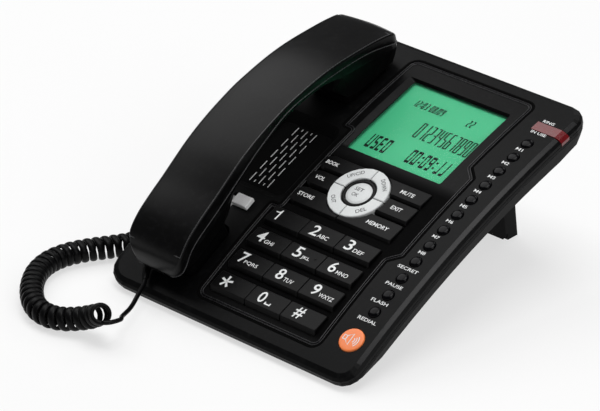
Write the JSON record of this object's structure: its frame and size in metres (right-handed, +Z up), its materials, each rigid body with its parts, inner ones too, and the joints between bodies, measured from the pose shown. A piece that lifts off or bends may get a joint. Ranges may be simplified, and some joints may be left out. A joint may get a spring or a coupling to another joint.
{
  "type": "desk telephone",
  "caption": "Black corded desk telephone: sloping base with display, keypad and control ring, handset in its cradle, folding rear stand and coiled cord.",
  "frame": {"origin": "middle of the front foot's underside, on the table", "axes": "+Z up from the table, -Y towards the user, +X to the user's right, so the handset is on -X"},
  "size_m": [0.2394, 0.2838, 0.1213],
  "materials": {
    "shell_black": "fine texture",
    "lower_black": "fine texture",
    "frame_black": "satin",
    "window_clear": "clear acrylic",
    "display_green": "liquid crystal, green backlight",
    "board_green": "solder mask",
    "mat_silicone": "silicone",
    "inner_metal": "plain",
    "ballast_steel": "plain",
    "lamp_red": "clear red",
    "hook_white": "satin",
    "foot_rubber": "matt",
    "handset_black": "fine texture",
    "cord_black": "soft PVC",
    "key_black": "fine texture",
    "dome_black": "polished",
    "ring_grey": "satin",
    "speaker_orange": "satin"
  },
  "bodies": {
    "base": {"top_cover": "shell_black", "bottom_cover": "lower_black", "keypad_frame": "frame_black", "display_window": "window_clear", "display_panel": "display_green", "main_board": "board_green", "key_mat": "mat_silicone", "loudspeaker": "inner_metal", "ring_lamp": "lamp_red", "handset_socket": "lower_black", "line_socket": "lower_black", "base_cord_plug": "cord_black", "front_foot": "foot_rubber", "curly_cord": "cord_black", "base_lead": "cord_black"},
    "handset": {"handset_outer_shell": "handset_black", "handset_inner_shell": "handset_black", "handset_receiver": "inner_metal", "handset_microphone": "inner_metal", "handset_ballast": "ballast_steel", "handset_cord_plug": "cord_black", "handset_lead": "cord_black"},
    "stand": {"rear_stand": "lower_black"},
    "hook": {"hook_switch": "hook_white"},
    "key_1": {"key_1": "key_black"},
    "key_2": {"key_2": "key_black"},
    "key_3": {"key_3": "key_black"},
    "key_4": {"key_4": "key_black"},
    "key_5": {"key_5": "key_black"},
    "key_6": {"key_6": "key_black"},
    "key_7": {"key_7": "key_black"},
    "key_8": {"key_8": "key_black"},
    "key_9": {"key_9": "key_black"},
    "key_star": {"key_star": "key_black"},
    "key_0": {"key_0": "key_black"},
    "key_hash": {"key_hash": "key_black"},
    "book_key": {"book_key": "key_black"},
    "mute_key": {"mute_key": "key_black"},
    "volume_key": {"volume_key": "key_black"},
    "exit_key": {"exit_key": "key_black"},
    "store_key": {"store_key": "key_black"},
    "memory_key": {"memory_key": "key_black"},
    "down_key": {"down_key": "ring_grey"},
    "up_key": {"up_key": "ring_grey"},
    "out_key": {"out_key": "ring_grey"},
    "delete_key": {"delete_key": "ring_grey"},
    "ok_key": {"ok_key": "ring_grey"},
    "memory_key_1": {"memory_key_1": "dome_black"},
    "memory_key_2": {"memory_key_2": "dome_black"},
    "memory_key_3": {"memory_key_3": "dome_black"},
    "memory_key_4": {"memory_key_4": "dome_black"},
    "memory_key_5": {"memory_key_5": "dome_black"},
    "memory_key_6": {"memory_key_6": "dome_black"},
    "memory_key_7": {"memory_key_7": "dome_black"},
    "memory_key_8": {"memory_key_8": "dome_black"},
    "secret_key": {"secret_key": "dome_black"},
    "pause_key": {"pause_key": "dome_black"},
    "flash_key": {"flash_key": "dome_black"},
    "redial_key": {"redial_key": "dome_black"},
    "speaker_key": {"speaker_key": "speaker_orange"}
  },
  "joints": [
    {"name": "handset_lift", "type": "slide", "parent": "base", "child": "handset", "axis": [0, -0.3973, 0.9177], "range_m": [0, 0.06], "deforming": ["handset_lead"]},
    {"name": "hook_rise", "type": "slide", "parent": "base", "child": "hook", "axis": [0, -0.4427, 0.8967], "range_m": [0, 0.004]},
    {"name": "stand_fold", "type": "hinge", "parent": "base", "child": "stand", "pos_m": [-0.00675, 0.1852, 0.06707], "axis": [1, 0, 0], "range_deg": [-74, 0]},
    {"name": "key_1_press", "type": "slide", "parent": "base", "child": "key_1", "axis": [0, 0.4436, -0.8962], "range_m": [0, 0.0012], "stiffness_N_per_m": 300, "springref_m": -0.003},
    {"name": "key_2_press", "type": "slide", "parent": "base", "child": "key_2", "axis": [0, 0.4436, -0.8962], "range_m": [0, 0.0012], "stiffness_N_per_m": 300, "springref_m": -0.003},
    {"name": "key_3_press", "type": "slide", "parent": "base", "child": "key_3", "axis": [0, 0.4436, -0.8962], "range_m": [0, 0.0012], "stiffness_N_per_m": 300, "springref_m": -0.003},
    {"name": "key_4_press", "type": "slide", "parent": "base", "child": "key_4", "axis": [0, 0.4647, -0.8855], "range_m": [0, 0.0012], "stiffness_N_per_m": 300, "springref_m": -0.003},
    {"name": "key_5_press", "type": "slide", "parent": "base", "child": "key_5", "axis": [0, 0.4647, -0.8855], "range_m": [0, 0.0012], "stiffness_N_per_m": 300, "springref_m": -0.003},
    {"name": "key_6_press", "type": "slide", "parent": "base", "child": "key_6", "axis": [0, 0.4647, -0.8855], "range_m": [0, 0.0012], "stiffness_N_per_m": 300, "springref_m": -0.003},
    {"name": "key_7_press", "type": "slide", "parent": "base", "child": "key_7", "axis": [0, 0.4856, -0.8742], "range_m": [0, 0.0012], "stiffness_N_per_m": 300, "springref_m": -0.003},
    {"name": "key_8_press", "type": "slide", "parent": "base", "child": "key_8", "axis": [0, 0.4856, -0.8742], "range_m": [0, 0.0012], "stiffness_N_per_m": 300, "springref_m": -0.003},
    {"name": "key_9_press", "type": "slide", "parent": "base", "child": "key_9", "axis": [0, 0.4856, -0.8742], "range_m": [0, 0.0012], "stiffness_N_per_m": 300, "springref_m": -0.003},
    {"name": "key_star_press", "type": "slide", "parent": "base", "child": "key_star", "axis": [0, 0.5061, -0.8624], "range_m": [0, 0.0012], "stiffness_N_per_m": 300, "springref_m": -0.003},
    {"name": "key_0_press", "type": "slide", "parent": "base", "child": "key_0", "axis": [0, 0.5061, -0.8624], "range_m": [0, 0.0012], "stiffness_N_per_m": 300, "springref_m": -0.003},
    {"name": "key_hash_press", "type": "slide", "parent": "base", "child": "key_hash", "axis": [0, 0.5061, -0.8624], "range_m": [0, 0.0012], "stiffness_N_per_m": 300, "springref_m": -0.003},
    {"name": "book_key_press", "type": "slide", "parent": "base", "child": "book_key", "axis": [0, 0.3838, -0.9234], "range_m": [0, 0.0012], "stiffness_N_per_m": 300, "springref_m": -0.003},
    {"name": "mute_key_press", "type": "slide", "parent": "base", "child": "mute_key", "axis": [0, 0.3838, -0.9234], "range_m": [0, 0.0012], "stiffness_N_per_m": 300, "springref_m": -0.003},
    {"name": "volume_key_press", "type": "slide", "parent": "base", "child": "volume_key", "axis": [0, 0.4004, -0.9163], "range_m": [0, 0.0012], "stiffness_N_per_m": 300, "springref_m": -0.003},
    {"name": "exit_key_press", "type": "slide", "parent": "base", "child": "exit_key", "axis": [0, 0.4004, -0.9163], "range_m": [0, 0.0012], "stiffness_N_per_m": 300, "springref_m": -0.003},
    {"name": "store_key_press", "type": "slide", "parent": "base", "child": "store_key", "axis": [0, 0.419, -0.908], "range_m": [0, 0.0012], "stiffness_N_per_m": 300, "springref_m": -0.003},
    {"name": "memory_key_press", "type": "slide", "parent": "base", "child": "memory_key", "axis": [0, 0.419, -0.908], "range_m": [0, 0.0012], "stiffness_N_per_m": 300, "springref_m": -0.003},
    {"name": "down_key_press", "type": "slide", "parent": "base", "child": "down_key", "axis": [0, 0.3854, -0.9228], "range_m": [0, 0.0012], "stiffness_N_per_m": 300, "springref_m": -0.003},
    {"name": "up_key_press", "type": "slide", "parent": "base", "child": "up_key", "axis": [0, 0.3854, -0.9228], "range_m": [0, 0.0012], "stiffness_N_per_m": 300, "springref_m": -0.003},
    {"name": "out_key_press", "type": "slide", "parent": "base", "child": "out_key", "axis": [0, 0.4121, -0.9111], "range_m": [0, 0.0012], "stiffness_N_per_m": 300, "springref_m": -0.003},
    {"name": "delete_key_press", "type": "slide", "parent": "base", "child": "delete_key", "axis": [0, 0.4121, -0.9111], "range_m": [0, 0.0012], "stiffness_N_per_m": 300, "springref_m": -0.003},
    {"name": "ok_key_press", "type": "slide", "parent": "base", "child": "ok_key", "axis": [0, 0.3988, -0.917], "range_m": [0, 0.0012], "stiffness_N_per_m": 300, "springref_m": -0.003},
    {"name": "memory_key_1_press", "type": "slide", "parent": "base", "child": "memory_key_1", "axis": [0, 0.2988, -0.9543], "range_m": [0, 0.0012], "stiffness_N_per_m": 300, "springref_m": -0.003},
    {"name": "memory_key_2_press", "type": "slide", "parent": "base", "child": "memory_key_2", "axis": [0, 0.316, -0.9488], "range_m": [0, 0.0012], "stiffness_N_per_m": 300, "springref_m": -0.003},
    {"name": "memory_key_3_press", "type": "slide", "parent": "base", "child": "memory_key_3", "axis": [0, 0.333, -0.9429], "range_m": [0, 0.0012], "stiffness_N_per_m": 300, "springref_m": -0.003},
    {"name": "memory_key_4_press", "type": "slide", "parent": "base", "child": "memory_key_4", "axis": [0, 0.3499, -0.9368], "range_m": [0, 0.0012], "stiffness_N_per_m": 300, "springref_m": -0.003},
    {"name": "memory_key_5_press", "type": "slide", "parent": "base", "child": "memory_key_5", "axis": [0, 0.3667, -0.9303], "range_m": [0, 0.0012], "stiffness_N_per_m": 300, "springref_m": -0.003},
    {"name": "memory_key_6_press", "type": "slide", "parent": "base", "child": "memory_key_6", "axis": [0, 0.3834, -0.9236], "range_m": [0, 0.0012], "stiffness_N_per_m": 300, "springref_m": -0.003},
    {"name": "memory_key_7_press", "type": "slide", "parent": "base", "child": "memory_key_7", "axis": [0, 0.4, -0.9165], "range_m": [0, 0.0012], "stiffness_N_per_m": 300, "springref_m": -0.003},
    {"name": "memory_key_8_press", "type": "slide", "parent": "base", "child": "memory_key_8", "axis": [0, 0.4164, -0.9092], "range_m": [0, 0.0012], "stiffness_N_per_m": 300, "springref_m": -0.003},
    {"name": "secret_key_press", "type": "slide", "parent": "base", "child": "secret_key", "axis": [0, 0.4327, -0.9015], "range_m": [0, 0.0012], "stiffness_N_per_m": 300, "springref_m": -0.003},
    {"name": "pause_key_press", "type": "slide", "parent": "base", "child": "pause_key", "axis": [0, 0.4489, -0.8936], "range_m": [0, 0.0012], "stiffness_N_per_m": 300, "springref_m": -0.003},
    {"name": "flash_key_press", "type": "slide", "parent": "base", "child": "flash_key", "axis": [0, 0.4649, -0.8854], "range_m": [0, 0.0012], "stiffness_N_per_m": 300, "springref_m": -0.003},
    {"name": "redial_key_press", "type": "slide", "parent": "base", "child": "redial_key", "axis": [0, 0.4808, -0.8768], "range_m": [0, 0.0012], "stiffness_N_per_m": 300, "springref_m": -0.003},
    {"name": "speaker_key_press", "type": "slide", "parent": "base", "child": "speaker_key", "axis": [0, 0.5061, -0.8625], "range_m": [0, 0.0012], "stiffness_N_per_m": 300, "springref_m": -0.003}
  ],
  "couplings": [
    {"joint": "hook_rise", "follows": "handset_lift", "ratio": 0.066667}
  ]
}
